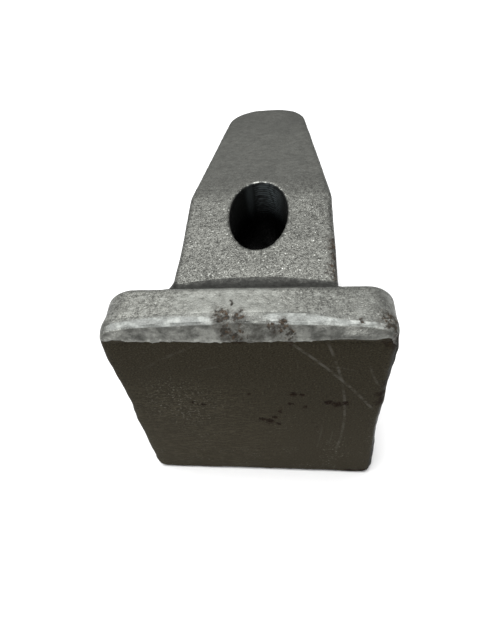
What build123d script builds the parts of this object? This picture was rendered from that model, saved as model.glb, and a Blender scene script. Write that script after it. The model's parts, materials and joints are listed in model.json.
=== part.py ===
from build123d import *
import math
import os

# Weld-on nose of an excavator bucket tooth.
# A thick square head is welded to the bucket lip by its flat front face. A tapered nose stands out of the
# head's back, and a tooth cap slides over it. An oval slot through the nose takes the cap's lock pin, and a
# rubber-backed detent, in a pocket on the slot's root side, snaps into the pin's notch.
#
# Frame: origin at the centre of the weld face, +X across the head, +Y out along the nose, +Z up.
# All sizes are in millimetres.

# Head block
HEAD_WIDTH = 66.0
HEAD_HEIGHT = 65.0
HEAD_DEPTH = 13.5
HEAD_TOP_CORNER_R = 5.5
HEAD_BOTTOM_CORNER_R = 3.0
HEAD_BACK_EDGE_R = 1.8
TOP_BEVEL_DEPTH = 2.4
TOP_BEVEL_DROP = 4.4
FACE_EDGE_BEVEL = 0.6

# Nose, side profile
NOSE_TILT = 10.0
NOSE_TOP_DROP = 5.2
NOSE_ROOT_HEIGHT = 42.0
NOSE_LENGTH = 93.0
NOSE_FOLD_AT = 36.0
NOSE_TIP_THICKNESS = 13.0
NOSE_FOLD_R = 30.0

# Nose, plan outline
NOSE_ROOT_WIDTH = 40.5
NOSE_FOLD_WIDTH = 40.0
NOSE_TIP_WIDTH = 25.0
NOSE_OFFSET = 1.5
NOSE_SHOULDER_R = 12.0
NOSE_TIP_CORNER_R = 7.5
NOSE_EDGE_R = 1.4

# Oval lock slot through the nose, square to the nose's lower stretch
SLOT_LENGTH = 27.0
SLOT_WIDTH = 16.0
SLOT_AT = 33.0

# Tenon of the nose in the head
TENON_WIDTH = 30.0
TENON_HEIGHT = 26.0
TENON_LENGTH = 8.5
TENON_CORNER_R = 4.0
TENON_CLEARANCE = 0.15

# Rubber-backed lock in a pocket of the slot's root-side wall
LOCK_WIDTH = 12.0
LOCK_HEIGHT = 18.0
LOCK_CORNER_R = 2.0
LOCK_CLEARANCE = 0.2
BACK_PLATE_THICKNESS = 2.0
RUBBER_THICKNESS = 6.5
DETENT_THICKNESS = 2.5
NUB_WIDTH = 8.0
NUB_HEIGHT = 8.0
NUB_REACH = 2.5
DETENT_EDGE_R = 0.4
POCKET_OVERLAP = 4.0

# Weld bead round the nose root
BEAD_LENGTH = 7.0
BEAD_LEG = 5.5
BEAD_TOP_LEG = 3.4
BEAD_TOE = 0.4

# Two coordinates closer than this are the same
TOLERANCE = 1e-6

# Worked out from the driving sizes
HEAD_TOP = HEAD_HEIGHT / 2
TILT_SLOPE = math.tan(math.radians(NOSE_TILT))
ROOT_TOP = HEAD_TOP - NOSE_TOP_DROP
ROOT_BOTTOM = ROOT_TOP - NOSE_ROOT_HEIGHT
ROOT_MID = (ROOT_TOP + ROOT_BOTTOM) / 2
FOLD_TOP = ROOT_TOP + NOSE_FOLD_AT * TILT_SLOPE
FOLD_BOTTOM = ROOT_BOTTOM + NOSE_FOLD_AT * TILT_SLOPE
TIP_BOTTOM = FOLD_TOP - NOSE_TIP_THICKNESS

# The lock stack, measured along the lock frame's y from the slot's centre
LOCK_FRONT = SLOT_LENGTH / 2 * math.sqrt(1 - (LOCK_WIDTH / SLOT_WIDTH) ** 2)
LOCK_STACK = BACK_PLATE_THICKNESS + RUBBER_THICKNESS + DETENT_THICKNESS

# The slot frame: x across the nose, y along the nose towards its tip, z out of the nose's upper side.
# The lock frame is the same frame turned so that its y points at the nose's root.
SLOT_CENTRE = Vector(NOSE_OFFSET, HEAD_DEPTH + SLOT_AT, ROOT_MID + SLOT_AT * TILT_SLOPE)
SLOT_FRAME = Location(SLOT_CENTRE, (NOSE_TILT, 0, 0))
LOCK_FRAME = SLOT_FRAME * Rot(0, 0, 180)


def rounded_block(width, depth, height, radius):
    """A block centred on the origin whose four edges along y are rounded."""
    block = Box(width, depth, height)
    return fillet(block.edges().filter_by(Axis.Y), radius)


def nose_outline():
    """The nose without its slot: side profile crossed with plan outline, with its long edges rounded."""
    far_y = HEAD_DEPTH + NOSE_LENGTH
    fold_y = HEAD_DEPTH + NOSE_FOLD_AT
    with BuildPart() as side:
        with BuildSketch(Plane.YZ) as profile:
            Polygon(
                (HEAD_DEPTH, ROOT_BOTTOM),
                (fold_y, FOLD_BOTTOM),
                (far_y, TIP_BOTTOM),
                (far_y, FOLD_TOP),
                (fold_y, FOLD_TOP),
                (HEAD_DEPTH, ROOT_TOP),
                align=None,
            )
            fillet(corners_at(profile, fold_y, along="X"), NOSE_FOLD_R)
        extrude(amount=HEAD_WIDTH, both=True)
    with BuildPart() as plan:
        with BuildSketch(Plane.XY) as outline:
            Polygon(
                (-NOSE_ROOT_WIDTH / 2, HEAD_DEPTH),
                (NOSE_ROOT_WIDTH / 2, HEAD_DEPTH),
                (NOSE_FOLD_WIDTH / 2, fold_y),
                (NOSE_TIP_WIDTH / 2, far_y),
                (-NOSE_TIP_WIDTH / 2, far_y),
                (-NOSE_FOLD_WIDTH / 2, fold_y),
                align=None,
            )
            fillet(corners_at(outline, fold_y, along="Y"), NOSE_SHOULDER_R)
            fillet(corners_at(outline, far_y, along="Y"), NOSE_TIP_CORNER_R)
        extrude(amount=HEAD_HEIGHT, both=True)
    blank = side.part & plan.part
    root_edges = blank.faces().sort_by(Axis.Y)[0].edges()
    rim = [e for e in blank.edges() if e not in root_edges and not is_upright(e)]
    return Pos(NOSE_OFFSET, 0, 0) * fillet(rim, NOSE_EDGE_R)


def corners_at(sketch, value, along):
    """The sketch's corners at one coordinate, in the sketch's own axes."""
    return [v for v in sketch.vertices() if abs(getattr(v, along) - value) < TOLERANCE]


def is_upright(edge):
    """True for an edge that runs nearer to Z than to the level."""
    return abs(edge.tangent_at(0.5).Z) > math.sin(math.radians(45))


def nose_part():
    """The nose: blank, tenon at its root, lock slot and the lock's pocket."""
    tenon = rounded_block(TENON_WIDTH, TENON_LENGTH, TENON_HEIGHT, TENON_CORNER_R)
    blank = nose_outline() + Pos(NOSE_OFFSET, HEAD_DEPTH - TENON_LENGTH / 2, ROOT_MID) * tenon
    slot = extrude(Ellipse(SLOT_WIDTH / 2, SLOT_LENGTH / 2), HEAD_WIDTH, both=True)
    pocket_start = LOCK_FRONT - POCKET_OVERLAP
    pocket = rounded_block(
        LOCK_WIDTH + 2 * LOCK_CLEARANCE,
        LOCK_FRONT + LOCK_STACK - pocket_start,
        LOCK_HEIGHT + 2 * LOCK_CLEARANCE,
        LOCK_CORNER_R,
    )
    pocket_middle = (pocket_start + LOCK_FRONT + LOCK_STACK) / 2
    return blank - SLOT_FRAME * slot - LOCK_FRAME * Pos(0, pocket_middle, 0) * pocket


def head_block():
    """The head: rounded block with a bevelled top front edge and a blind mortise for the nose's tenon."""
    block = Pos(0, HEAD_DEPTH / 2, 0) * Box(HEAD_WIDTH, HEAD_DEPTH, HEAD_HEIGHT)
    long_edges = block.edges().filter_by(Axis.Y).group_by(Axis.Z)
    block = fillet(long_edges[0], HEAD_BOTTOM_CORNER_R)
    long_edges = block.edges().filter_by(Axis.Y).group_by(Axis.Z)
    block = fillet(long_edges[-1], HEAD_TOP_CORNER_R)
    block = fillet(block.faces().sort_by(Axis.Y)[-1].edges(), HEAD_BACK_EDGE_R)
    bevel_profile = Plane.YZ * Polygon(
        (-HEAD_DEPTH, HEAD_TOP - TOP_BEVEL_DROP - HEAD_DEPTH * TOP_BEVEL_DROP / TOP_BEVEL_DEPTH),
        (TOP_BEVEL_DEPTH + HEAD_DEPTH, HEAD_TOP + HEAD_DEPTH * TOP_BEVEL_DROP / TOP_BEVEL_DEPTH),
        (-HEAD_DEPTH, HEAD_TOP + HEAD_DEPTH * TOP_BEVEL_DROP / TOP_BEVEL_DEPTH),
        align=None,
    )
    block -= extrude(bevel_profile, HEAD_WIDTH, both=True)
    block = chamfer(block.faces().sort_by(Axis.Y)[0].edges(), FACE_EDGE_BEVEL)
    mortise = rounded_block(
        TENON_WIDTH + 2 * TENON_CLEARANCE,
        TENON_LENGTH + TENON_CLEARANCE,
        TENON_HEIGHT + 2 * TENON_CLEARANCE,
        TENON_CORNER_R,
    )
    mortise_middle = HEAD_DEPTH - (TENON_LENGTH + TENON_CLEARANCE) / 2
    return block - Pos(NOSE_OFFSET, mortise_middle, ROOT_MID) * mortise


def bead_section(y, width, low, high):
    """The bead's outline at one distance from the weld face, spaced evenly off the nose's rounded edges."""
    corner = NOSE_EDGE_R + (width - NOSE_ROOT_WIDTH) / 2
    outline = RectangleRounded(width, high - low, corner)
    return Plane((NOSE_OFFSET, y, (low + high) / 2), x_dir=(1, 0, 0), z_dir=(0, -1, 0)) * outline


def root_weld(nose_blank):
    """The bead round the nose root: a collar that shrinks from the head's back to the nose's skin."""
    rise = BEAD_LENGTH * TILT_SLOPE
    wide = bead_section(
        HEAD_DEPTH, NOSE_ROOT_WIDTH + 2 * BEAD_LEG, ROOT_BOTTOM - BEAD_LEG, ROOT_TOP + BEAD_TOP_LEG
    )
    narrow = bead_section(
        HEAD_DEPTH + BEAD_LENGTH,
        NOSE_ROOT_WIDTH + 2 * BEAD_TOE,
        ROOT_BOTTOM + rise - BEAD_TOE,
        ROOT_TOP + rise + BEAD_TOE,
    )
    return loft([wide, narrow]) - nose_blank


def lock_back_plate():
    """The flat steel backing at the bottom of the lock pocket."""
    plate = rounded_block(LOCK_WIDTH, BACK_PLATE_THICKNESS, LOCK_HEIGHT, LOCK_CORNER_R)
    return LOCK_FRAME * Pos(0, LOCK_FRONT + LOCK_STACK - BACK_PLATE_THICKNESS / 2, 0) * plate


def lock_rubber():
    """The rubber pad between the backing and the detent."""
    pad = rounded_block(LOCK_WIDTH, RUBBER_THICKNESS, LOCK_HEIGHT, LOCK_CORNER_R)
    return LOCK_FRAME * Pos(0, LOCK_FRONT + DETENT_THICKNESS + RUBBER_THICKNESS / 2, 0) * pad


def lock_detent():
    """The detent: a steel plate with a rounded nub that stands into the slot."""
    plate = Pos(0, LOCK_FRONT + DETENT_THICKNESS / 2, 0) * rounded_block(
        LOCK_WIDTH, DETENT_THICKNESS, LOCK_HEIGHT, LOCK_CORNER_R
    )
    nub_r = (NUB_HEIGHT**2 / 4 + NUB_REACH**2) / (2 * NUB_REACH)
    barrel = Rot(0, 90, 0) * Cylinder(nub_r, NUB_WIDTH)
    nub = Pos(0, LOCK_FRONT - NUB_REACH + nub_r, 0) * barrel
    nub_depth = NUB_REACH + DETENT_THICKNESS / 2
    nub &= Pos(0, LOCK_FRONT - NUB_REACH + nub_depth / 2, 0) * Box(NUB_WIDTH, nub_depth, 2 * NUB_HEIGHT)
    return LOCK_FRAME * fillet((plate + nub).edges(), DETENT_EDGE_R)


nose = nose_part()
parts = {
    "nose": nose,
    "head_block": head_block(),
    "root_weld": root_weld(nose_outline()),
    "lock_back_plate": lock_back_plate(),
    "lock_rubber": lock_rubber(),
    "lock_detent": lock_detent(),
}
os.makedirs("parts", exist_ok=True)
for name, shape in parts.items():
    export_step(shape, f"parts/{name}.step")
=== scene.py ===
import itertools
import json
import math

import bmesh
import bpy
import numpy as np
from mathutils import Matrix, Vector


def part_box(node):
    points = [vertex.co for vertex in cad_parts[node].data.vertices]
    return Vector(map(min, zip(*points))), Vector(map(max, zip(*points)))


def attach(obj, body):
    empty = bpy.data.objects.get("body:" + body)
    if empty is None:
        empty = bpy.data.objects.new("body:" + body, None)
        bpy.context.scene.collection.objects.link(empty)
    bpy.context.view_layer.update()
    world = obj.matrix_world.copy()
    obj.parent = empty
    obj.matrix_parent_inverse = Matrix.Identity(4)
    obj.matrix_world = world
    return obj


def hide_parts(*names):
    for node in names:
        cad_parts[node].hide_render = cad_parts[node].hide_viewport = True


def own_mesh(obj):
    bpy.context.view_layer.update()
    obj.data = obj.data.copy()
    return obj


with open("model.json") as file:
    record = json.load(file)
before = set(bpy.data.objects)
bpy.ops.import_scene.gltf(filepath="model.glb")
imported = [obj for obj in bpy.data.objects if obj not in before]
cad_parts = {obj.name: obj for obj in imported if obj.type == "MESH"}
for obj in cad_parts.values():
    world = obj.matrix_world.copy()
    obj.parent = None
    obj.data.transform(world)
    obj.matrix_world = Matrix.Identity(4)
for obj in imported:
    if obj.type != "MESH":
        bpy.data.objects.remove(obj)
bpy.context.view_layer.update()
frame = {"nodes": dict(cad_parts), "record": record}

MM = 0.001


# ---------------------------------------------------------------- places taken from the frame


def box_mm(node):
    """Lowest and highest corner of a CAD node, in mm."""
    low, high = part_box(node)
    return np.array(low) / MM, np.array(high) / MM


def mount_mm(name):
    """A mount's place in mm and its axis."""
    mount = next(m for m in frame["record"]["mounts"] if m["name"] == name)
    return np.array(mount["pos_m"]) / MM, np.array(mount["axis"])


HEAD_LOW, HEAD_HIGH = box_mm("head_block")
NOSE_LOW, NOSE_HIGH = box_mm("nose")
HALF_WIDTH = (HEAD_HIGH[0] - HEAD_LOW[0]) / 2
HEAD_TOP = HEAD_HIGH[2]
HEAD_BACK = HEAD_HIGH[1]
NOSE_X = (NOSE_LOW[0] + NOSE_HIGH[0]) / 2
NOSE_HALF_WIDTH = (NOSE_HIGH[0] - NOSE_LOW[0]) / 2
NOSE_TIP_Y = NOSE_HIGH[1]
SLOT_MOUTH, SLOT_AXIS = mount_mm("lock_slot")
ALONG_NOSE = np.array([0, SLOT_AXIS[2], -SLOT_AXIS[1]])
LOWER_SLOPE = ALONG_NOSE[2] / ALONG_NOSE[1]
ROOT_TOP = SLOT_MOUTH[2] - (SLOT_MOUTH[1] - HEAD_BACK) * LOWER_SLOPE
ROOT_BOTTOM = NOSE_LOW[2]
SLOT_HALF_WIDTH = 8.0
SLOT_HALF_LENGTH = 13.5


# ---------------------------------------------------------------- number helpers


def smooth(low, high, value):
    """0 below low, 1 above high, and an even S-curve between them."""
    t = np.clip((value - low) / (high - low), 0, 1)
    return t * t * (3 - 2 * t)


def hump(value, width):
    """1 at value 0, falling to either side over about width."""
    return np.exp(-((value / width) ** 2))


HASH_BY_AXIS = np.array([374761393, 668265263, 974634577])
HASH_PRIME = 1274126177
LOW_32_BITS = 0xFFFFFFFF
LOW_16_BITS = 0xFFFF
SEED_STEP = 7.31


def lumps(points, grain, seed):
    """Smooth seeded noise from -1 to 1 at points in mm; one lump is about grain mm across."""
    cell = points / grain + seed * SEED_STEP
    base = np.floor(cell).astype(np.int64)
    part = cell - base
    part = part * part * (3 - 2 * part)
    total = np.zeros(len(points))
    for corner in itertools.product((0, 1), repeat=3):
        at = base + corner
        mixed = (at @ HASH_BY_AXIS + seed * HASH_PRIME) & LOW_32_BITS
        mixed = ((mixed ^ (mixed >> 13)) * HASH_PRIME) & LOW_32_BITS
        value = ((mixed ^ (mixed >> 16)) & LOW_16_BITS) / (LOW_16_BITS / 2) - 1
        total += value * np.prod(np.where(corner, part, 1 - part), axis=1)
    return total


def forging(points):
    """How far a forged skin stands in or out of its drawn surface: broad waves and small dents."""
    return 0.11 * lumps(points, 11.0, 1) + 0.06 * lumps(points, 4.5, 2) + 0.03 * lumps(points, 1.9, 3)


# ---------------------------------------------------------------- mesh helpers


def add(name, data):
    """A new object in the scene, from a mesh, a light or a camera."""
    shown = bpy.data.objects.new(name, data)
    bpy.context.scene.collection.objects.link(shown)
    return shown


def bake(piece):
    """Turns a piece's modifiers into its mesh."""
    bpy.context.view_layer.update()
    shown = piece.evaluated_get(bpy.context.evaluated_depsgraph_get())
    mesh = bpy.data.meshes.new_from_object(shown)
    piece.modifiers.clear()
    piece.data = mesh


SAME_PLACE = 1e-4


def grown(node, name, voxel):
    """A fine, evenly meshed copy of a CAD node, ready to be worked over."""
    piece = add(name, frame["nodes"][node].data.copy())
    piece.data.materials.clear()
    weld = bmesh.new()
    weld.from_mesh(piece.data)
    bmesh.ops.remove_doubles(weld, verts=weld.verts, dist=SAME_PLACE * MM)
    weld.to_mesh(piece.data)
    weld.free()
    remesh = piece.modifiers.new("grow", "REMESH")
    remesh.mode = "VOXEL"
    remesh.voxel_size = voxel * MM
    soften = piece.modifiers.new("soften", "SMOOTH")
    soften.factor = 0.5
    soften.iterations = 3
    bake(piece)
    piece.data.shade_smooth()
    return piece


def points_mm(mesh):
    """The mesh's points in mm, one row each."""
    flat = np.empty(len(mesh.vertices) * 3)
    mesh.vertices.foreach_get("co", flat)
    return flat.reshape(-1, 3) / MM


def normals(mesh):
    """The direction that the surface faces at each point."""
    flat = np.empty(len(mesh.vertices) * 3)
    mesh.vertex_normals.foreach_get("vector", flat)
    return flat.reshape(-1, 3)


def move_to(mesh, points):
    """Moves the mesh's points to new places in mm."""
    mesh.vertices.foreach_set("co", (points * MM).ravel())
    mesh.update()


def soften(mesh, points, share, rounds):
    """Evens out the surface by share of the way towards its neighbours, as wear does to a corner."""
    ends = np.empty(len(mesh.edges) * 2, dtype=np.int32)
    mesh.edges.foreach_get("vertices", ends)
    one, other = ends.reshape(-1, 2).T
    here, there = np.concatenate([one, other]), np.concatenate([other, one])
    count = np.bincount(here, minlength=len(points))
    for _ in range(rounds):
        mean = [np.bincount(here, points[there, k], len(points)) / count for k in range(3)]
        points = points + share[:, None] * (np.stack(mean, axis=1) - points)
    return points


def paint_value(mesh, name, values):
    """Stores one number per vertex under a name that the materials read."""
    layer = mesh.attributes.new(name, "FLOAT", "POINT")
    layer.data.foreach_set("value", np.asarray(values, dtype=np.float32))


# ---------------------------------------------------------------- the head

BEVEL_DEPTH = 2.4
BEVEL_DROP = 4.4
HEAD_CORNER_R = 5.5
CREST_BOW_Y = 1.3
CREST_BOW_Z = 1.0
CREST_FORWARD = 1.75
CREST_DROP = 0.65
CREST_WEAR = 0.5
LIP_REACH = 0.25
LEFT_SLANT = 0.35
LINE_AT = 40.0


def drawn_edge(x):
    """Height where the bevel ends and the weld face starts, before it is torn, at a place across the head."""
    rise_right = 1.5 * smooth(9.0, 25.0, x)
    rise_left = 0.3 * smooth(-21.0, -26.0, x)
    fall_at_corner = 5.0 * smooth(29.8, 33.4, x)
    notch = 1.5 * hump(x + 27.8, 1.5)
    return HEAD_TOP - BEVEL_DROP + rise_right + rise_left - fall_at_corner + notch


def torn_edge(points):
    """The same line as it is torn, above or below each point."""
    x = points[:, 0]
    line = np.stack([x, np.zeros(len(x)), np.zeros(len(x))], axis=1)
    ragged = 0.30 * lumps(line, 3.1, 11) + 0.30 * lumps(line, 1.3, 12) + 0.22 * lumps(line, 0.7, 13)
    return drawn_edge(x) + ragged


def behind_crest(points):
    """Distance over the surface behind the crest that tops the bevel; negative on the bevel itself."""
    x, y, z = points.T
    bevel_y = BEVEL_DEPTH * (z - (HEAD_TOP - BEVEL_DROP)) / BEVEL_DROP
    corner_x = np.abs(x) - (HALF_WIDTH - HEAD_CORNER_R)
    corner_z = z - (HEAD_TOP - HEAD_CORNER_R)
    outside = np.hypot(np.maximum(corner_x, 0), np.maximum(corner_z, 0))
    rim = outside + np.minimum(np.maximum(corner_x, corner_z), 0) - HEAD_CORNER_R
    behind = 0.88 * (y - np.maximum(bevel_y, 0)) + np.minimum(rim, 0)
    return np.where(y > 2 * BEVEL_DEPTH, y, behind)


def crest_bow(p):
    """The crest bows up and back in the middle of the head."""
    x, y, z = p.T
    bow = 1 - (x / HALF_WIDTH) ** 2
    near_crest = smooth(HEAD_TOP - BEVEL_DROP - 0.5, HEAD_TOP - 0.8, z) * (1 - smooth(3.0, 11.0, y))
    shift = np.zeros_like(p)
    shift[:, 1] = (CREST_BOW_Y * bow - CREST_FORWARD) * near_crest
    shift[:, 2] = (CREST_BOW_Z * bow - CREST_DROP) * near_crest
    return shift


def upper_corners(p):
    """The upper corners are squarer towards the front on the right, and slant at the back on the left."""
    x, y, z = p.T
    corner_x = np.maximum(np.abs(x) - (HALF_WIDTH - HEAD_CORNER_R), 0)
    corner_z = np.maximum(z - (HEAD_TOP - HEAD_CORNER_R), 0)
    reach = np.maximum(np.hypot(corner_x, corner_z), 1e-6)
    square = ((corner_x / reach) ** 4 + (corner_z / reach) ** 4 + 1e-9) ** -0.25 - 1
    square *= (corner_x > 0) * (corner_z > 0) * (1 - smooth(4.0, 8.0, y))
    slant = LEFT_SLANT * (2 * corner_x * corner_z / reach**2) * (x < 0) * smooth(5.0, 10.0, y)
    shift = np.zeros_like(p)
    shift[:, 0] = square * corner_x * np.where(x > 0, 1.0, -0.4) + slant * corner_x / reach
    shift[:, 2] = square * corner_z - slant * corner_z / reach
    return shift


def head_skin(p, crest, edge):
    """How far the skin stands out: the crest is worn to a narrow flat, and the bevel under it is lumpy."""
    y, z = p[:, 1], p[:, 2]
    worn = -CREST_WEAR * hump(crest, 1.4) * (1 + 0.3 * lumps(p, 4.0, 21))
    bevel = smooth(0.3, -0.6, crest) * smooth(-0.3, 0.5, z - edge)
    rough = bevel * (0.24 * lumps(p, 2.6, 22) + 0.10 * lumps(p, 1.1, 23))
    flat_face = (1 - smooth(0.05, 0.5, y)) * smooth(0.2, -0.4, z - edge)
    dents = 0.05 * lumps(p, 2.4, 26) * smooth(0.5, 1.5, crest) * smooth(HEAD_BACK - 0.2, HEAD_BACK - 1.5, y)
    return (forging(p) + dents) * (1 - 0.75 * flat_face) + worn + rough


def bevel_recut(p, crest, edge):
    """How far back the bevel moves so that it starts at the torn edge instead of a straight one."""
    y, z = p[:, 1], p[:, 2]
    straight = BEVEL_DEPTH * np.clip((z - (HEAD_TOP - BEVEL_DROP)) / BEVEL_DROP, 0, 1)
    torn = BEVEL_DEPTH * np.clip((z - edge) / (HEAD_TOP - edge), 0, 1)
    return (torn - straight) * smooth(1.2, -0.4, crest) * (1 - smooth(2.5, 4.0, y))


def trimmed_outline(p):
    """The trimmed sides are waisted on the right and fuller towards the top, and the foot is uneven."""
    x, y, z = p.T
    side = smooth(HALF_WIDTH - 6, HALF_WIDTH - 0.5, np.abs(x))
    outward = 0.2 * lumps(side_line(p), 9.0, 25) + 0.12 * lumps(side_line(p), 2.3, 34)
    outward += np.where(x > 0, 0.2, 0.6) * smooth(24.0, 29.0, z) * smooth(5.0, 11.0, y)
    outward += (x > 0) * (0.8 * hump(z - 24, 8.0) - 0.45 * hump(z + 7, 8.0) + 0.6 * hump(z + 26, 9.0))
    outward += (x < 0) * (0.5 * hump(z - 20, 9.0) + 0.2 * smooth(4.0, -4.0, z))
    foot_line = np.stack([x, np.zeros(len(x)), np.full(len(x), -LINE_AT)], axis=1)
    downward = 0.3 * smooth(-8.0, -20.0, x) + 0.5 * hump(x - 27.0, 3.5)
    downward += 0.16 * lumps(foot_line, 2.2, 29) + 0.10 * lumps(foot_line, 0.9, 30)
    shift = np.zeros_like(p)
    shift[:, 0] = np.sign(x) * side * outward
    shift[:, 2] = -downward * smooth(-28.0, -31.0, z)
    return shift


def side_line(p):
    """The points pressed onto one line up each side, so that noise there runs straight through the head."""
    return np.stack([np.sign(p[:, 0]) * LINE_AT, np.zeros(len(p)), p[:, 2]], axis=1)


def right_chamfer(p):
    """How far the face's right edge is knocked back: an uneven chamfer, widest at the top."""
    x, y, z = p.T
    line = side_line(p)
    knock = 0.25 + 0.75 * smooth(10.0, 27.0, z) + 0.35 * lumps(line, 3.5, 27) + 0.2 * lumps(line, 1.3, 28)
    near_edge = smooth(HALF_WIDTH - 1.9, HALF_WIDTH - 0.2, x) * (1 - smooth(0.5, 1.8, y))
    return near_edge * np.maximum(knock, 0) * smooth(HEAD_TOP - 1, HEAD_TOP - 5, z)


def work_head(piece):
    """Works the grown head over, and stores how far each point is behind the crest and off the face."""
    mesh = piece.data
    p = points_mm(mesh)
    x, y, z = p.T
    crest = behind_crest(p)
    edge = torn_edge(p)
    recut = bevel_recut(p, crest, edge)
    lip = LIP_REACH * hump(z - edge - 0.5, 0.7) * (1 - smooth(0.9, 1.9, y)) * (1 + 0.6 * lumps(p, 1.7, 24))
    shift = crest_bow(p) + upper_corners(p) + trimmed_outline(p)
    shift += normals(mesh) * head_skin(p, crest, edge)[:, None]
    shift[:, 1] += recut - lip + right_chamfer(p)

    corners = smooth(HALF_WIDTH - 7, HALF_WIDTH - 3, np.abs(x)) * smooth(HEAD_TOP - 7, HEAD_TOP - 4, z)
    corners *= 0.6 * (1 - smooth(3.5, 6.5, y))
    move_to(mesh, soften(mesh, p + shift, corners, 8))

    # The crest's bright band, worn and also a painted highlight, reaches further back over the top to either
    # side of the middle
    reach = 1 + 1.6 * hump(x - 11.0, 8.0) + 1.0 * hump(x + 18.0, 12.0)
    paint_value(mesh, "crest", np.where(crest > 0, crest / reach, crest))
    paint_value(mesh, "face_gap", np.maximum(z - edge, (y + recut - 0.3) * 3))


# ---------------------------------------------------------------- the nose


def slot_gap(points):
    """Distance outside the oval slot's wall, and depth below its mouth."""
    offset = points - SLOT_MOUTH
    across = offset[:, 0]
    along = offset @ ALONG_NOSE
    reach = np.hypot(across, along)
    oval = np.hypot(across / SLOT_HALF_WIDTH, along / SLOT_HALF_LENGTH)
    return reach * (1 - 1 / np.maximum(oval, 1e-6)), -(offset @ SLOT_AXIS)


PARTING_BELOW_TIP = 7.5


def parting_height(y):
    """Height of the forging's parting line down the nose's sides."""
    root = (ROOT_TOP + ROOT_BOTTOM) / 2
    tip = NOSE_HIGH[2] - PARTING_BELOW_TIP
    return root + (tip - root) * (y - HEAD_BACK) / (NOSE_TIP_Y - HEAD_BACK)


RING_PITCH = 1.4
RING_DEPTH = 0.012
PARTING_REACH = 0.3
ROOT_SPREAD = 0.55
TIP_CROWN = 0.4


def work_nose(piece):
    """Works the nose over, and stores how far each point is outside the slot's wall and below its mouth."""
    mesh = piece.data
    p = points_mm(mesh)
    n = normals(mesh)
    x, y, z = p.T
    across = x - NOSE_X
    gap, depth = slot_gap(p)
    in_slot = smooth(0.6, 0.1, gap) * smooth(0.0, 1.0, depth)
    skin = forging(p) * (1 - in_slot)
    side = smooth(0.55, 0.9, np.abs(n[:, 0]))
    side *= smooth(NOSE_HALF_WIDTH * 0.4, NOSE_HALF_WIDTH * 0.6, np.abs(across))
    ridge = smooth(1.3, 0.7, np.abs(z - parting_height(y)))
    skin += side * ridge * (PARTING_REACH + 0.12 * lumps(p, 3.0, 31)) * (1 - in_slot)
    # Drilling rings on the slot's wall
    skin += in_slot * RING_DEPTH * np.sin(depth * 2 * math.pi / RING_PITCH + 0.5 * lumps(p, 6.0, 33))
    shift = n * skin[:, None]
    # The left side spreads a little towards the root, and the tip is crowned and rounded off
    left = smooth(0.0, -NOSE_HALF_WIDTH, across)
    shift[:, 0] -= ROOT_SPREAD * left * (1 - smooth(HEAD_BACK, HEAD_BACK + 24, y))
    shift[:, 2] += TIP_CROWN * hump(across, 9.0) * smooth(NOSE_TIP_Y - 12, NOSE_TIP_Y, y)
    tip_side = smooth(3.0, 11.0, np.abs(across)) * smooth(NOSE_TIP_Y - 9, NOSE_TIP_Y - 1, y)
    shift[:, 0] -= np.where(across > 0, 0.3, -0.6) * tip_side
    tip_corners = 0.6 * smooth(4.0, 8.0, np.abs(across)) * smooth(NOSE_TIP_Y - 8, NOSE_TIP_Y - 3, y)
    move_to(mesh, soften(mesh, p + shift, tip_corners, 14))
    paint_value(mesh, "slot_gap", gap)
    paint_value(mesh, "slot_depth", depth)


# ---------------------------------------------------------------- the root fillet

NOSE_EDGE_R = 1.4
FILLET_STEPS = 14
FILLET_STATIONS = 220
FILLET_LENGTH = 6.2
FILLET_LEG = 5.5
FILLET_ARCH = 2.6
FILLET_SINK = 1.2


def rounded_outline(half_x, half_z, radius, t):
    """A point on a rounded rectangle and its outward direction; t is 0 to 1, clockwise from the top left."""
    flat_x, flat_z = half_x - radius, half_z - radius
    quarter = math.pi / 2 * radius
    runs = [2 * flat_x, quarter, 2 * flat_z, quarter, 2 * flat_x, quarter, 2 * flat_z, quarter]
    still = (t % 1.0) * sum(runs)
    corners = [(-flat_x, flat_z), (flat_x, flat_z), (flat_x, -flat_z), (-flat_x, -flat_z)]
    for k, run in enumerate(runs):
        if still <= run or k == len(runs) - 1:
            break
        still -= run
    start = math.pi / 2 * (1 - k // 2)
    if k % 2 == 0:
        cx, cz = corners[k // 2]
        out = (math.cos(start), math.sin(start))
        return cx + out[0] * radius + out[1] * still, cz + out[1] * radius - out[0] * still, out
    cx, cz = corners[(k // 2 + 1) % 4]
    turn = start - still / radius
    out = (math.cos(turn), math.sin(turn))
    return cx + out[0] * radius, cz + out[1] * radius, out


def ring_mesh(name, rings, closed):
    """Faces between neighbouring rings of points in mm; closed joins last to first, else both are capped."""
    shape = bmesh.new()
    rows = [[shape.verts.new(Vector(point) * MM) for point in ring] for ring in rings]
    for row, after in zip(rows, rows[1:] + rows[:1] if closed else rows[1:]):
        for k in range(len(row)):
            nxt = (k + 1) % len(row)
            shape.faces.new((row[k], row[nxt], after[nxt], after[k]))
    if not closed:
        shape.faces.new(rows[0])
        shape.faces.new(rows[-1])
    bmesh.ops.recalc_face_normals(shape, faces=shape.faces)
    mesh = bpy.data.meshes.new(name)
    shape.to_mesh(mesh)
    shape.free()
    mesh.shade_smooth()
    return mesh


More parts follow.
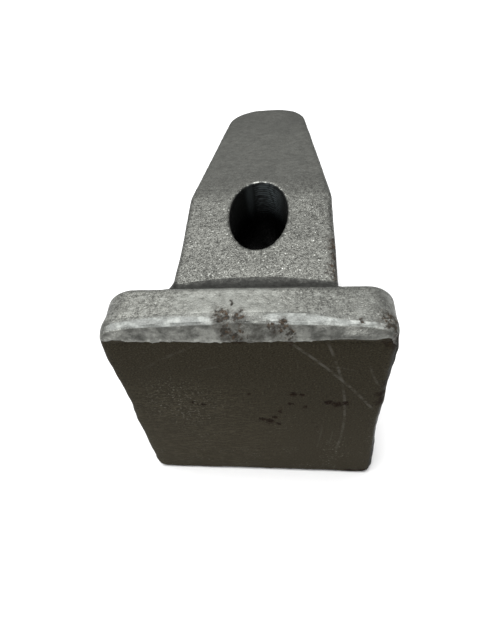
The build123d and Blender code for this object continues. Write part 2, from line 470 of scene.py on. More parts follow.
def root_fillet():
    """A closed ring round the nose's root: a concave skin from the head's back to the nose, arched on top."""
    rings = []
    root_mid = (ROOT_TOP + ROOT_BOTTOM) / 2
    for station in range(FILLET_STATIONS):
        t = station / FILLET_STATIONS
        x, z, out = rounded_outline(NOSE_HALF_WIDTH, (ROOT_TOP - ROOT_BOTTOM) / 2, NOSE_EDGE_R, t)
        up, down, left = max(out[1], 0.0), max(-out[1], 0.0), max(-out[0], 0.0)
        arch = FILLET_ARCH * (x / NOSE_HALF_WIDTH) ** 2
        length = FILLET_LENGTH + up * (2.0 - arch) + down * 1.0 + left * 4.8
        leg = FILLET_LEG - up * 1.1 + left**3 * 1.7
        section = []
        for step in range(FILLET_STEPS + 1):
            turn = math.pi / 2 * step / FILLET_STEPS
            section.append((leg * (1 - math.sin(turn)) - 0.05, 0.15 + length * (1 - math.cos(turn))))
        # The back of the section is sunk into the nose and the head
        section += [(-FILLET_SINK, length - 0.4), (-FILLET_SINK, -0.8), (leg - 0.6, -0.8)]
        ring = []
        for offset, along in section:
            at_x = NOSE_X + x + out[0] * offset
            at_z = root_mid + z + out[1] * offset + along * LOWER_SLOPE
            ring.append((at_x, HEAD_BACK + along, at_z))
        rings.append(ring)
    mesh = ring_mesh("root_fillet", rings, closed=True)
    p = points_mm(mesh)
    visible = smooth(HEAD_BACK - 0.5, HEAD_BACK - 0.1, p[:, 1])
    move_to(mesh, p + normals(mesh) * (forging(p) * visible)[:, None])
    towards_nose = np.clip(np.arange(len(rings[0])) / FILLET_STEPS, 0, 1)
    paint_value(mesh, "towards_nose", np.tile(towards_nose, len(rings)))
    return add("root_fillet", mesh)


# ---------------------------------------------------------------- the lock's rubber pad

PAD_CORNER_R = 2.0
PAD_GROOVES = 3
PAD_GROOVE_DEPTH = 0.55
PAD_EDGE_R = 0.35
PAD_CLEARANCE = 0.05
PAD_LAYERS = 48
PAD_STATIONS = 96


def slot_box(node):
    """A CAD node's lowest and highest reach in mm across the nose, along it, and out of its upper side."""
    p = points_mm(frame["nodes"][node].data)
    reach = np.stack([p[:, 0], p @ ALONG_NOSE, p @ SLOT_AXIS], axis=1)
    return reach.min(axis=0), reach.max(axis=0)


def rubber_pad():
    """The rubber block bonded between the lock's two plates, with moulded grooves round its sides."""
    low, high = slot_box("lock_rubber")
    middle, half = (low + high) / 2, (high - low) / 2
    rings = []
    for layer in range(PAD_LAYERS + 1):
        depth = -math.cos(math.pi * layer / PAD_LAYERS)
        groove = 0.5 - 0.5 * math.cos(math.pi * PAD_GROOVES * (depth + 1))
        near_end = max(0.0, PAD_EDGE_R - half[1] * (1 - abs(depth)))
        edge = PAD_EDGE_R - math.sqrt(max(PAD_EDGE_R**2 - near_end**2, 0.0))
        inset = PAD_CLEARANCE + PAD_GROOVE_DEPTH * groove**1.5 + edge
        ring = []
        level = (middle[1] + depth * half[1]) * ALONG_NOSE
        for station in range(PAD_STATIONS):
            t = station / PAD_STATIONS
            x, up, _ = rounded_outline(half[0] - inset, half[2] - inset, PAD_CORNER_R - inset, t)
            across = np.array([middle[0] + x, 0, 0])
            ring.append(across + level + (middle[2] + up) * SLOT_AXIS)
        rings.append(ring)
    return add("rubber_pad", ring_mesh("rubber_pad", rings, closed=False))


# ---------------------------------------------------------------- materials


class Paint:
    """A node-based material, built up by short calls. Every call returns the socket that it made."""

    def __init__(self, name):
        self.material = bpy.data.materials.new(name)
        self.material.use_nodes = True
        self.tree = self.material.node_tree
        self.tree.nodes.clear()
        self.place = self.make("ShaderNodeTexCoord").outputs["Object"]

    def make(self, kind, **settings):
        """A new shader node, with its settings."""
        node = self.tree.nodes.new(kind)
        for key, value in settings.items():
            setattr(node, key, value)
        return node

    def feed(self, socket, value):
        """Links a socket to another one, or gives it a plain value."""
        if isinstance(value, bpy.types.NodeSocket):
            self.tree.links.new(value, socket)
        else:
            socket.default_value = value

    def math(self, operation, a, b=0.0, clamp=False):
        """One step of arithmetic."""
        node = self.make("ShaderNodeMath", operation=operation, use_clamp=clamp)
        self.feed(node.inputs[0], a)
        self.feed(node.inputs[1], b)
        return node.outputs[0]

    def times(self, first, *others):
        """The product of all its values."""
        for other in others:
            first = self.math("MULTIPLY", first, other)
        return first

    def span(self, value, low, high, to_low=0.0, to_high=1.0):
        """Maps low..high to to_low..to_high smoothly, and holds the ends."""
        node = self.make("ShaderNodeMapRange", interpolation_type="SMOOTHSTEP")
        for socket, number in zip(node.inputs, (value, low, high, to_low, to_high)):
            self.feed(socket, number)
        return node.outputs[0]

    def attribute(self, name):
        """A number stored with paint_value."""
        return self.make("ShaderNodeAttribute", attribute_name=name).outputs["Fac"]

    def axis(self, letter):
        """A coordinate in mm."""
        parts = self.make("ShaderNodeSeparateXYZ")
        self.feed(parts.inputs[0], self.place)
        return self.math("MULTIPLY", parts.outputs[letter], 1 / MM)

    def noise(self, grain, detail=2.0, rough=0.55, stretch=(1, 1, 1), seed=0.0):
        """Noise from 0 to 1 whose lumps are about grain mm across, longer where stretch is above 1."""
        mapping = self.make("ShaderNodeMapping")
        self.feed(mapping.inputs["Vector"], self.place)
        mapping.inputs["Scale"].default_value = [1 / s for s in stretch]
        mapping.inputs["Location"].default_value = (seed, seed * 0.7, seed * 1.3)
        node = self.make("ShaderNodeTexNoise")
        self.feed(node.inputs["Vector"], mapping.outputs[0])
        node.inputs["Scale"].default_value = 1 / (grain * MM)
        node.inputs["Detail"].default_value = detail
        node.inputs["Roughness"].default_value = rough
        return node.outputs["Fac"]

    def mix(self, share, a, b):
        """Colour a, with a share of colour b."""
        node = self.make("ShaderNodeMix", data_type="RGBA")
        self.feed(node.inputs["Factor"], share)
        self.feed(node.inputs["A"], a)
        self.feed(node.inputs["B"], b)
        return node.outputs["Result"]

    def blend(self, share, a, b):
        """The same for plain numbers."""
        node = self.make("ShaderNodeMix", data_type="FLOAT")
        self.feed(node.inputs["Factor"], share)
        self.feed(node.inputs["A"], a)
        self.feed(node.inputs["B"], b)
        return node.outputs["Result"]

    def grazing(self):
        """0 where the surface faces the eye, rising to 1 at its outline."""
        node = self.make("ShaderNodeLayerWeight")
        node.inputs["Blend"].default_value = 0.5
        return node.outputs["Facing"]

    def near(self, centre, radius, wobble):
        """1 round a place, falling to 0 at radius; all in mm, with wobble added to the distance."""
        node = self.make("ShaderNodeVectorMath", operation="DISTANCE")
        self.feed(node.inputs[0], self.place)
        node.inputs[1].default_value = [c * MM for c in centre]
        reach = self.math("ADD", self.math("MULTIPLY", node.outputs["Value"], 1 / MM), wobble)
        return self.span(reach, radius, radius * 0.3)

    def finish(self, colour, rough, metal, bumps=(), specular=0.5):
        """Ends the material; bumps are (height socket, depth in mm) pairs."""
        shader = self.make("ShaderNodeBsdfPrincipled")
        self.feed(shader.inputs["Base Color"], colour)
        self.feed(shader.inputs["Roughness"], rough)
        self.feed(shader.inputs["Metallic"], metal)
        self.feed(shader.inputs["Specular IOR Level"], specular)
        normal = None
        for height, depth in bumps:
            bump = self.make("ShaderNodeBump")
            bump.inputs["Distance"].default_value = depth * MM
            self.feed(bump.inputs["Height"], height)
            if normal is not None:
                self.feed(bump.inputs["Normal"], normal)
            normal = bump.outputs[0]
        if normal is not None:
            self.feed(shader.inputs["Normal"], normal)
        out = self.make("ShaderNodeOutputMaterial")
        self.feed(out.inputs["Surface"], shader.outputs[0])
        return self.material


def grey(level, warm=0.0):
    """Bare steel's faintly green grey, or a warmer one."""
    return (level * (0.975 + warm), level, level * (0.925 - warm), 1.0)


STEEL_METAL = 0.75
RUST_DARK = (0.011, 0.0080, 0.0040, 1.0)
RUST_RED = (0.044, 0.025, 0.010, 1.0)


def rusted(paint, colour, rough, spots, seed, size=1.0):
    """Adds rust at spots, each (x, y, z, radius), broken up by noise of that size, and a few stray specks."""
    grain = paint.noise(0.95 * size, 5.0, 0.72, seed=seed)
    total = paint.span(paint.noise(2.6, 3.0, 0.6, seed=seed + 0.4), 0.66, 0.80, 0.0, 0.4)
    torn = paint.noise(1.7 * size, 3.0, 0.6, seed=seed + 0.6)
    wobble = paint.times(paint.math("SUBTRACT", torn, 0.5), 5.0 * size)
    for x, y, z, radius in spots:
        total = paint.math("MAXIMUM", total, paint.near((x, y, z), radius, wobble))
    ragged = paint.math("ADD", total, paint.times(paint.math("SUBTRACT", grain, 0.5), 2.6))
    core = paint.times(paint.span(ragged, 0.50, 1.15), paint.span(total, 0.05, 0.4))
    stain = paint.times(paint.span(total, 0.0, 0.5, 0.0, 0.45), paint.span(grain, 0.35, 0.6, 0.4, 1.0))
    share = paint.math("MAXIMUM", core, stain)
    tint = paint.mix(paint.span(paint.noise(0.8, 3.0, 0.6, seed=seed + 0.8), 0.45, 0.70), RUST_DARK, RUST_RED)
    return paint.mix(share, colour, tint), paint.blend(share, rough, 0.8), share


def blasted(paint, level, contrast):
    """Shot-blasted steel: a grey ground full of small bright and dark grains, with painted shade darkening it
    towards its outline.
    """
    fine = paint.noise(0.38, 3.0, 0.75)
    coarse = paint.noise(1.1, 3.0, 0.6, seed=0.3)
    broad = paint.noise(9.0, 3.0, 0.55, seed=0.6)
    sparkle = paint.span(paint.noise(0.55, 2.0, 0.6, seed=0.9), 0.60, 0.72)
    value = paint.math("ADD", paint.times(paint.math("SUBTRACT", fine, 0.5), 3.2 * contrast), 0.5)
    value = paint.math("ADD", value, paint.times(paint.math("SUBTRACT", coarse, 0.5), 1.3 * contrast))
    value = paint.math("ADD", value, paint.times(paint.math("SUBTRACT", broad, 0.5), 0.5), clamp=True)
    colour = paint.mix(value, grey(level * 0.35, 0.02), grey(level * 1.7, 0.012))
    colour = paint.mix(paint.times(sparkle, 0.6 * contrast), colour, grey(min(level * 4.0, 0.85)))
    # Painted shade: darker towards the outline, where the surface turns away from the eye and the light
    colour = paint.mix(paint.span(paint.grazing(), 0.62, 0.95, 0.0, 0.75), colour, grey(level * 0.2))
    rough = paint.blend(sparkle, paint.span(fine, 0.2, 0.8, 0.62, 0.46), 0.3)
    return colour, rough, fine, coarse


# Rust down the nose's right edge: distance from the head, and reach
EDGE_RUST = ((5.5, 2.5), (8.0, 3.4), (10.5, 3.0), (13.5, 2.2), (16.0, 3.2), (18.5, 3.2))

# How far apart the rings are that the drill left in the slot's wall
WALL_RING_PITCH = 0.8


def slot_wall(paint, depth):
    """The slot's machined wall: dark and glossy, with painted reflections in ringed streaks of sheen, and
    painted shade turning it black further down.
    """
    across = paint.math("SUBTRACT", paint.axis("X"), NOSE_X)
    rings = paint.math("SINE", paint.times(depth, 2 * math.pi / WALL_RING_PITCH))
    rings = paint.span(rings, -1.0, 1.0, 0.35, 1.0)
    uneven = paint.noise(0.5, 4.0, 0.6, (8, 1, 1), 2.6)
    # Painted reflection: a band of sheen on the far wall just right of the middle, broken by the drill's
    # rings
    sheen = paint.span(paint.math("ABSOLUTE", paint.math("SUBTRACT", across, 1.8)), 5.2, 1.6)
    sheen = paint.times(sheen, rings, paint.span(uneven, 0.32, 0.62))
    # Painted reflection: a faint streak of sheen down the left of the wall
    streak = paint.span(paint.math("ABSOLUTE", paint.math("ADD", across, 3.4)), 1.6, 0.2, 0.0, 0.3)
    sheen = paint.times(paint.math("MAXIMUM", sheen, streak), paint.span(depth, 0.8, 3.0))
    wall = paint.mix(sheen, grey(0.030, -0.03), grey(0.42, -0.13))
    # Painted shade: the wall turns black further down the slot, where little light reaches
    return paint.mix(paint.span(depth, 3.0, 15.0), wall, grey(0.0015))


def nose_steel():
    """Blasted near the head and plainer past the slot, with a rusted edge and the slot's dark, glossy wall
    with its painted sheen and shade.
    """
    paint = Paint("nose_steel")
    colour, rough, fine, coarse = blasted(paint, 0.130, 1.25)
    y = paint.axis("Y")

    # Past the slot the skin is plainer, with dull patches, and it is darkest at the tip
    past_slot = paint.span(y, SLOT_MOUTH[1] + 2, SLOT_MOUTH[1] + 24)
    streaks = paint.noise(1.2, 5.0, 0.7, (1.6, 1, 1), 0.2)
    plain = paint.mix(paint.span(streaks, 0.25, 0.75), grey(0.105, 0.01), grey(0.185, 0.01))
    colour = paint.mix(paint.times(past_slot, 0.75), colour, plain)
    worn = paint.times(paint.span(paint.noise(7.0, 3.0, 0.6, (1, 3, 1), 0.8), 0.45, 0.65), past_slot)
    colour = paint.mix(paint.times(worn, 0.3), colour, grey(0.10))
    colour = paint.mix(paint.span(y, NOSE_TIP_Y - 30, NOSE_TIP_Y - 6, 0.0, 0.35), colour, grey(0.085, 0.01))

    right = NOSE_X + NOSE_HALF_WIDTH
    spots = [(right, HEAD_BACK + along, ROOT_TOP + along * LOWER_SLOPE, reach) for along, reach in EDGE_RUST]
    colour, rough, rust = rusted(paint, colour, rough, spots, 1.7)

    gap = paint.attribute("slot_gap")
    depth = paint.attribute("slot_depth")
    inside = paint.times(paint.span(gap, 0.45, 0.1), paint.span(depth, 0.1, 0.7))
    colour = paint.mix(inside, colour, slot_wall(paint, depth))
    rough = paint.blend(inside, rough, 0.36)

    # Painted highlights: the slot's mouth is painted bright in broken spots, mostly on its far side, where
    # its rounded rim catches the light
    rim = paint.times(paint.span(gap, 0.60, 0.30), paint.span(gap, 0.02, 0.2))
    rim = paint.times(rim, paint.span(y, SLOT_MOUTH[1] + 5, SLOT_MOUTH[1] + 9, 0.15, 1.0))
    rim_glints = paint.times(rim, paint.span(paint.noise(1.5, 3.0, seed=2.2), 0.52, 0.62))
    colour = paint.mix(paint.times(rim_glints, 0.8), colour, grey(0.6))

    metal = paint.blend(paint.math("MAXIMUM", rust, inside), STEEL_METAL, 0.0)
    specular = paint.blend(paint.times(inside, paint.span(depth, 2.0, 15.0)), 0.5, 0.05)
    return paint.finish(colour, rough, metal, [(coarse, 0.10), (fine, 0.09)], specular)


# Rust on the head, each spot's place and reach: along the crest and the bevel, down the face's right edge,
# and along its foot
HEAD_RUST = (
    (-4.4, 3.4, HEAD_TOP + 0.2, 4.2),
    (-1.0, 2.8, HEAD_TOP + 0.2, 3.2),
    (-0.8, 0.8, HEAD_TOP - 3.0, 2.6),
    (6.6, 1.8, HEAD_TOP - 1.6, 1.8),
    (-3.2, 1.2, HEAD_TOP - 1.8, 3.0),
    (-2.4, 7.5, HEAD_TOP + 0.4, 1.2),
    (8.6, 1.6, HEAD_TOP - 1.2, 2.6),
    (10.4, 0.6, HEAD_TOP - 3.0, 2.8),
    (25.3, 1.8, HEAD_TOP - 1.0, 1.2),
    (30.8, 3.0, HEAD_TOP - 1.4, 4.0),
    (HALF_WIDTH, 0.5, 12.0, 2.6),
    (HALF_WIDTH, 0.5, 8.6, 3.2),
    (HALF_WIDTH, 0.5, 4.8, 2.8),
    (HALF_WIDTH - 0.3, 1.5, HEAD_TOP - 4.5, 4.2),
    (HALF_WIDTH - 6, 0.0, HEAD_LOW[2], 2.4),
    (HALF_WIDTH - 2, 0.0, HEAD_LOW[2] + 0.5, 2.6),
    (0.0, 0.0, HEAD_LOW[2], 1.6),
)

# Rust pits in the weld face: place across, height and reach
FACE_PITS = (
    (4.4, -4.2, 1.7),
    (2.3, -3.3, 1.3),
    (5.8, -2.4, 1.1),
    (7.2, 0.3, 0.9),
    (6.6, -5.4, 1.0),
    (23.4, 4.7, 1.3),
    (21.4, 4.2, 1.8),
    (19.3, 5.1, 1.4),
    (10.8, 8.4, 1.3),
    (12.8, 8.1, 0.9),
    (13.6, 2.8, 0.9),
    (10.0, 4.1, 0.9),
    (-15.3, 4.1, 0.8),
    (-13.9, 3.6, 0.7),
    (-12.6, 3.3, 0.8),
    (-0.2, 8.3, 0.8),
)

# Scratches on the weld face, each a stretch of a wide arc: the arc's centre across and up, its radius,
# the lowest and highest place of the stretch, its half width and its strength
FACE_SCRATCHES = (
    (-81.3, -64.4, 129.9, 0.5, 30.0, 0.55, 0.60),
    (-69.0, -3.2, 92.6, -21.0, 29.0, 0.50, 0.50),
    (83.6, 34.8, 57.7, 10.0, 21.0, 0.45, 0.40),
    (-74.5, -3.2, 92.6, -20.0, -4.0, 0.35, 0.20),
    (-71.5, -3.2, 92.6, -18.0, -6.0, 0.30, 0.20),
    (35.6, -62.1, 100.4, 17.5, 28.0, 0.60, 0.22),
    (6.9, -26.1, 47.4, 16.5, 21.6, 0.50, 0.20),
)

FACE_DARK = (0.006, 0.0045, 0.0015, 1.0)
FACE_LIGHT = (0.044, 0.0365, 0.0215, 1.0)
FACE_LOWER = (0.042, 0.0345, 0.0205, 1.0)
FACE_SPECKLE = (0.160, 0.152, 0.122, 1.0)
FACE_BRUSHED = (0.056, 0.048, 0.030, 1.0)
FACE_SCRATCH = (0.095, 0.090, 0.076, 1.0)
FACE_RUST = (0.0070, 0.0025, 0.0008, 1.0)
CREST_COOL = -0.02


def head_ground(paint, x):
    """The head's blasted skin: brighter in patches and in the middle, with painted shade darkening it to the
    right.
    """
    colour, rough, fine, coarse = blasted(paint, 0.202, 1.15)
    patches = paint.noise(2.4, 3.0, 0.6, seed=3.3)
    colour = paint.mix(paint.span(patches, 0.5, 0.70, 0.0, 0.6), colour, grey(0.44))
    # Painted shade: darker to the right, where less light falls
    colour = paint.mix(paint.span(x, 8.0, 26.0, 0.0, 0.4), colour, grey(0.12))
    middle = paint.times(paint.span(x, -22.0, -6.0), paint.span(x, 14.0, 2.0))
    middle = paint.times(middle, paint.span(patches, 0.3, 0.6, 0.2, 0.75))
    return paint.mix(middle, colour, grey(0.40)), rough, fine, coarse


def bevel_colour(paint, x, crest, gap):
    """The bevel: mottled, with a painted shadow line along its top, stained in the middle, a painted
    highlight on its lip at the ends, and painted shade darkening it to the right.
    """
    blotch = paint.noise(2.2, 5.0, 0.7, (1.5, 1, 1), 3.1)
    bevel = paint.mix(paint.span(blotch, 0.3, 0.7), grey(0.09, 0.02), grey(0.31, 0.01))
    # Painted shadow line: darkest along the top of the bevel, under the crest
    bevel = paint.mix(paint.span(crest, -1.9, -0.9, 0.0, 0.5), bevel, grey(0.06, 0.02))
    # Painted highlight: the lip is painted bright at its ends, where it faces up into the light
    lip = paint.times(paint.span(gap, 1.3, 0.7), paint.span(blotch, 0.5, 0.62))
    ends = paint.math("MAXIMUM", paint.span(x, -8.0, -16.0, 0.15, 0.5), paint.span(x, 27.0, 30.0, 0.0, 0.5))
    bevel = paint.mix(paint.times(lip, ends), bevel, grey(0.42))
    stained = paint.times(paint.span(x, -8.0, -2.0), paint.span(x, 13.0, 9.0))
    stained = paint.times(stained, paint.span(blotch, 0.35, 0.6, 0.75, 0.25))
    bevel = paint.mix(stained, bevel, grey(0.058, 0.08))
    # Painted shade: darker to the right
    return paint.mix(paint.span(x, 14.0, 24.0, 0.0, 0.42), bevel, grey(0.085, 0.01))


def crest_wear_and_highlight(paint, x, z, crest, patchy):
    """Shares of the crest's band painted bright, partly as wear and partly as a painted highlight, and rusted
    dull near the middle; it is narrower at its ends.
    """
    low = paint.span(x, 10.0, 24.0, -0.75, -0.4)
    low = paint.math("MAXIMUM", low, paint.span(x, -18.0, -28.0, -0.75, -0.45))
    lowest = paint.math("SUBTRACT", low, 0.25)
    band = paint.times(paint.span(crest, 1.0, 0.75), paint.span(crest, lowest, low))
    band = paint.times(band, paint.span(x, -31.5, -29.0), paint.span(x, 31.5, 29.0))
    gone = paint.times(paint.span(x, -8.0, -5.0), paint.span(x, 6.5, 4.0))
    worn = paint.times(band, paint.math("SUBTRACT", 1.0, gone))
    worn = paint.times(worn, paint.span(z, HEAD_TOP - 4.2, HEAD_TOP - 2.8))
    return paint.times(worn, paint.span(patchy, 0.3, 0.6, 0.6, 1.0)), paint.times(band, gone)


def crest_wear_and_highlight_colour(paint, x, patchy, fine):
    """The crest's bright band, worn steel with a painted highlight: patchy and finely grained, and a little
    darker on the left.
    """
    bright = paint.mix(paint.span(x, 2.0, -12.0), grey(0.31, CREST_COOL), grey(0.24, CREST_COOL))
    bright = paint.mix(paint.span(patchy, 0.35, 0.65, 0.6, 0.0), bright, grey(0.14, CREST_COOL))
    bright = paint.mix(paint.span(fine, 0.35, 0.60, 0.45, 0.0), bright, grey(0.09, CREST_COOL))
    polished = paint.span(paint.noise(2.4, 2.0, 0.5, seed=3.9), 0.50, 0.66, 0.0, 0.5)
    return paint.mix(polished, bright, grey(0.50, CREST_COOL))


def face_colour(paint, x, z, grain):
    """The weld face: dark and warm, partly its own cut surface and partly painted shade, with a level grain,
    and rubbed and brushed lighter low on the left.
    """
    speckle = paint.noise(0.55, 3.0, 0.75, (1.6, 1, 1), 4.4)
    cloud = paint.noise(9.0, 3.0, 0.6, seed=4.6)
    # The dark base colours are partly the face's own tone and partly painted shade, for the shade the face
    # lies in
    face = paint.mix(paint.span(grain, 0.25, 0.75), FACE_DARK, FACE_LIGHT)
    lower = paint.span(z, 10.0, -20.0)
    face = paint.mix(paint.times(lower, 0.35), face, FACE_LOWER)
    rubbed = paint.near((-18.0, 0.0, 3.0), 22.0, paint.times(cloud, 10.0))
    rubbed = paint.math("MAXIMUM", rubbed, paint.times(lower, paint.span(cloud, 0.45, 0.6, 0.0, 0.6)))
    lit = paint.times(paint.span(speckle, 0.53, 0.70), paint.math("MAXIMUM", rubbed, 0.12))
    face = paint.mix(lit, face, FACE_SPECKLE)
    brushed = paint.span(paint.noise(0.34, 3.0, 0.65, (6, 1, 1), 4.8), 0.45, 0.68)
    low_left = paint.times(paint.span(x, 18.0, -8.0), paint.span(z, 20.0, 2.0))
    return paint.mix(paint.times(brushed, low_left, 0.8), face, FACE_BRUSHED)


def head_steel():
    """A blasted top, a mottled bevel under a crest painted bright as wear and as a painted highlight, and the
    weld face, partly darkened with painted shade, with its scratches and rust.
    """
    paint = Paint("head_steel")
    x, y, z = paint.axis("X"), paint.axis("Y"), paint.axis("Z")
    crest = paint.attribute("crest")
    gap = paint.attribute("face_gap")
    colour, rough, fine, coarse = head_ground(paint, x)
    colour = paint.mix(paint.span(crest, -0.5, -0.85), colour, bevel_colour(paint, x, crest, gap))

    # The crest's band is painted bright, partly as wear and partly as a painted highlight, between a darker
    # strip behind it and the painted shadow line along the top of the bevel
    behind = paint.times(paint.span(crest, 2.4, 1.3), paint.span(crest, -0.6, 0.4))
    colour = paint.mix(paint.times(behind, 0.55), colour, grey(0.085))
    patchy = paint.noise(1.8, 4.0, 0.65, (2.2, 1, 1), 3.6)
    worn, dulled = crest_wear_and_highlight(paint, x, z, crest, patchy)
    colour = paint.mix(paint.times(dulled, 0.6), colour, grey(0.09))
    colour = paint.mix(worn, colour, crest_wear_and_highlight_colour(paint, x, patchy, fine))
    rough = paint.blend(worn, rough, 0.5)

    on_face = paint.span(gap, 0.12, -0.12)
    grain = paint.noise(0.24, 3.0, 0.75, (1.8, 1, 1), 4.2)
    colour = paint.mix(on_face, colour, face_colour(paint, x, z, grain))
    rough = paint.blend(on_face, rough, 0.6)
    for scratch in FACE_SCRATCHES:
        mark = face_scratch(paint, x, z, *scratch)
        colour = paint.mix(paint.times(mark, on_face), colour, FACE_SCRATCH)

    # The trimmed right edge is dark beside the face
    trimmed = paint.times(paint.span(x, HALF_WIDTH - 1.2, HALF_WIDTH - 0.5), paint.span(y, 4.0, 1.5))
    trimmed = paint.times(trimmed, paint.span(z, HEAD_TOP - 5, HEAD_TOP - 9, 0.0, 0.9))
    colour = paint.mix(trimmed, colour, grey(0.02, 0.05))

    colour, rough, rust = rusted(paint, colour, rough, HEAD_RUST, 5.3)
    pits = [(across, 0.0, height, reach) for across, height, reach in FACE_PITS]
    colour, rough, pitted = rusted(paint, colour, rough, pits, 6.1, 0.45)
    rust = paint.math("MAXIMUM", rust, pitted)
    colour = paint.mix(paint.times(rust, on_face), colour, FACE_RUST)

    metal = paint.blend(on_face, paint.blend(worn, STEEL_METAL, 0.15), 0.0)
    metal = paint.blend(paint.math("MAXIMUM", rust, trimmed), metal, 0.0)
    specular = paint.blend(paint.math("MAXIMUM", on_face, trimmed), 0.5, 0.045)
    off_face = paint.math("SUBTRACT", 1.0, paint.times(on_face, 0.8))
    bumps = [
        (paint.times(coarse, off_face), 0.12),
        (paint.times(fine, off_face), 0.09),
        (paint.times(grain, on_face), 0.015),
    ]
    return paint.finish(colour, rough, metal, bumps, specular)


def face_scratch(paint, x, z, centre_x, centre_z, radius, low, high, width, strength):
    """A faint bright arc on the weld face, fading at its ends and broken by noise."""
    dx = paint.math("SUBTRACT", x, centre_x)
    dz = paint.math("SUBTRACT", z, centre_z)
    reach = paint.math("SQRT", paint.math("ADD", paint.times(dx, dx), paint.times(dz, dz)))
    line = paint.span(paint.math("ABSOLUTE", paint.math("SUBTRACT", reach, radius)), width, width * 0.3)
    ends = paint.times(paint.span(z, low, low + 4), paint.span(z, high, high - 4))
    broken = paint.span(paint.noise(2.6, 3.0, 0.6, seed=radius), 0.3, 0.65)
    return paint.times(line, ends, broken, strength)


def root_steel():
    """The root's fillet: painted dark as shade by the head, running out raggedly into the nose's blasted
    skin.
    """
    paint = Paint("root_steel")
    colour, rough, fine, coarse = blasted(paint, 0.124, 0.9)
    ragged = paint.times(paint.math("SUBTRACT", paint.noise(1.6, 3.0, 0.6, seed=7.3), 0.5), 0.8)
    toe = paint.span(paint.math("ADD", paint.attribute("towards_nose"), ragged), 0.78, 1.08)
    # Painted shade: dark by the head, where the fillet lies in the crease between head and nose
    seam_in_painted_shade = paint.mix(paint.span(coarse, 0.3, 0.7), grey(0.036, 0.01), grey(0.062, 0.01))
    colour = paint.mix(toe, seam_in_painted_shade, colour)
    colour, rough, rust = rusted(paint, colour, rough, [], 7.7)
    return paint.finish(colour, rough, paint.blend(rust, 0.7, 0.0), [(coarse, 0.08), (fine, 0.05)])


def plain_steel(name, level, rough):
    """Machined or cut steel with a fine grain."""
    paint = Paint(name)
    grain = paint.noise(0.6, 3.0, 0.6, (1, 1, 8), 8.4)
    colour = paint.mix(grain, grey(level * 0.6), grey(level * 1.4))
    rough = paint.span(grain, 0.2, 0.8, rough + 0.08, rough - 0.08)
    return paint.finish(colour, rough, 0.85, [(grain, 0.03)])


def pad_rubber():
    """Matt black rubber, faintly grained."""
    paint = Paint("pad_rubber")
    grain = paint.noise(0.4, 3.0, 0.6, seed=9.1)
    colour = paint.mix(grain, grey(0.010), grey(0.024))
    return paint.finish(colour, paint.span(grain, 0.2, 0.8, 0.65, 0.5), 0.0, [(grain, 0.02)])


def floor_finish():
    """Plain matt white, very faintly mottled."""
    paint = Paint("floor_finish")
    mottle = paint.noise(60.0, 2.0, 0.5)
    colour = paint.mix(mottle, (0.80, 0.80, 0.80, 1.0), (0.84, 0.84, 0.84, 1.0))
    return paint.finish(colour, 0.7, 0.0)


# ---------------------------------------------------------------- build the pieces

VOXEL = 0.5

nose = grown("nose", "forged_nose", VOXEL)
work_nose(nose)
head = grown("head_block", "forged_head", VOXEL)
work_head(head)
fillet = root_fillet()
pad = rubber_pad()

for piece, finish, node, slot in (
    (nose, nose_steel(), "nose", "nose_steel"),
    (head, head_steel(), "head_block", "head_steel"),
    (fillet, root_steel(), "root_weld", "weld_steel"),
    (pad, pad_rubber(), "lock_rubber", "lock_rubber"),
):
    piece.data.materials.append(finish)
    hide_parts(node)
    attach(piece, "adapter")

# The pad's reach in the slot is read, and the pad gets a mesh of its own
pad_low, pad_high = slot_box("lock_rubber")
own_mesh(pad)

# The lock's plate and detent keep their CAD shapes
for node, finish in (
    ("lock_back_plate", plain_steel("plate_steel", 0.12, 0.45)),
    ("lock_detent", plain_steel("detent_steel", 0.32, 0.32)),
):
    mesh = frame["nodes"][node].data
    mesh.materials.clear()
    mesh.materials.append(finish)


# ---------------------------------------------------------------- floor, light and camera

FLOOR_REACH = 3000.0
SOFTBOX_FROM = (-0.11, -0.06, 1.0)
SOFTBOX_POWER = 5.2
SOFTBOX_SPREAD = 45.0


def floor_under(piece):
    """A wide plain floor at the piece's lowest point."""
    level = Matrix.Translation((0, 0, points_mm(piece.data)[:, 2].min() * MM))
    mesh = bpy.data.meshes.new("floor")
    shape = bmesh.new()
    bmesh.ops.create_grid(shape, x_segments=2, y_segments=2, size=FLOOR_REACH * MM, matrix=level)
    shape.to_mesh(mesh)
    shape.free()
    mesh.materials.append(floor_finish())
    add("floor", mesh)


def softbox():
    """One broad soft light overhead."""
    light = bpy.data.lights.new("softbox", "SUN")
    light.energy = SOFTBOX_POWER
    light.angle = math.radians(SOFTBOX_SPREAD)
    shown = add("softbox", light)
    shown.rotation_euler = (Vector(SOFTBOX_FROM) * -1).to_track_quat("-Z", "Y").to_euler()


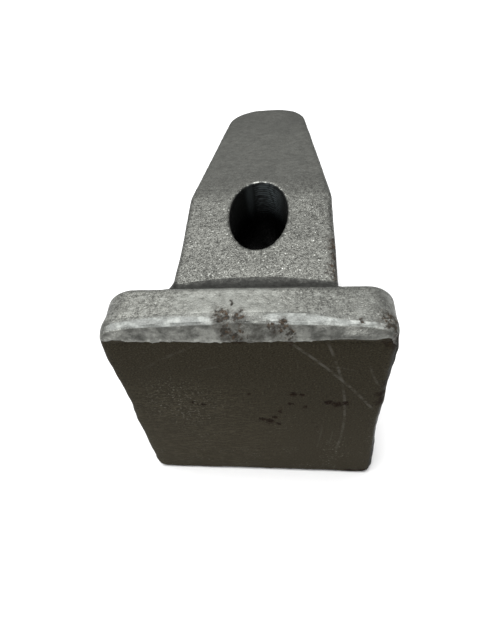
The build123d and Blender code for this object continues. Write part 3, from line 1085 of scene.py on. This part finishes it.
def room():
    """Dim near the horizon and lighter overhead, but plain white where the camera looks past the object."""
    world = bpy.data.worlds.new("studio")
    world.use_nodes = True
    tree = world.node_tree
    background = tree.nodes["Background"]
    background.inputs["Color"].default_value = (1.0, 1.0, 1.0, 1.0)
    height = tree.nodes.new("ShaderNodeSeparateXYZ")
    glow = tree.nodes.new("ShaderNodeMapRange")
    path = tree.nodes.new("ShaderNodeLightPath")
    seen = tree.nodes.new("ShaderNodeMix")
    tree.links.new(tree.nodes.new("ShaderNodeTexCoord").outputs["Generated"], height.inputs[0])
    tree.links.new(height.outputs["Z"], glow.inputs["Value"])
    for name, value in (("From Min", 0.15), ("From Max", 0.75), ("To Min", 0.01), ("To Max", 0.20)):
        glow.inputs[name].default_value = value
    tree.links.new(path.outputs["Is Camera Ray"], seen.inputs["Factor"])
    tree.links.new(glow.outputs[0], seen.inputs["A"])
    seen.inputs["B"].default_value = 1.0
    tree.links.new(seen.outputs["Result"], background.inputs["Strength"])
    bpy.context.scene.world = world
    bpy.context.scene.view_settings.view_transform = "Standard"


CAMERA_AT = (12.33, -64.88, 103.72)
CAMERA_AZIMUTH = -10.60
CAMERA_DOWN = 46.14
CAMERA_ROLL = -8.19
CAMERA_LENS = 25.99
CAMERA_SENSOR = 36.0
CAMERA_NEAREST = 5.0


def camera():
    """Looks down on the head and the nose from just in front of the weld face."""
    lens = bpy.data.cameras.new("camera")
    lens.lens = CAMERA_LENS
    lens.sensor_width = CAMERA_SENSOR
    lens.clip_start = CAMERA_NEAREST * MM
    shown = add("camera", lens)
    around, down = math.radians(CAMERA_AZIMUTH), math.radians(CAMERA_DOWN)
    look = Vector((math.sin(around) * math.cos(down), math.cos(around) * math.cos(down), -math.sin(down)))
    aim = look.to_track_quat("-Z", "Y").to_matrix().to_4x4()
    roll = Matrix.Rotation(math.radians(CAMERA_ROLL), 4, "Z")
    shown.matrix_world = Matrix.Translation(Vector(CAMERA_AT) * MM) @ aim @ roll
    bpy.context.scene.camera = shown


floor_under(head)
softbox()
room()
camera()
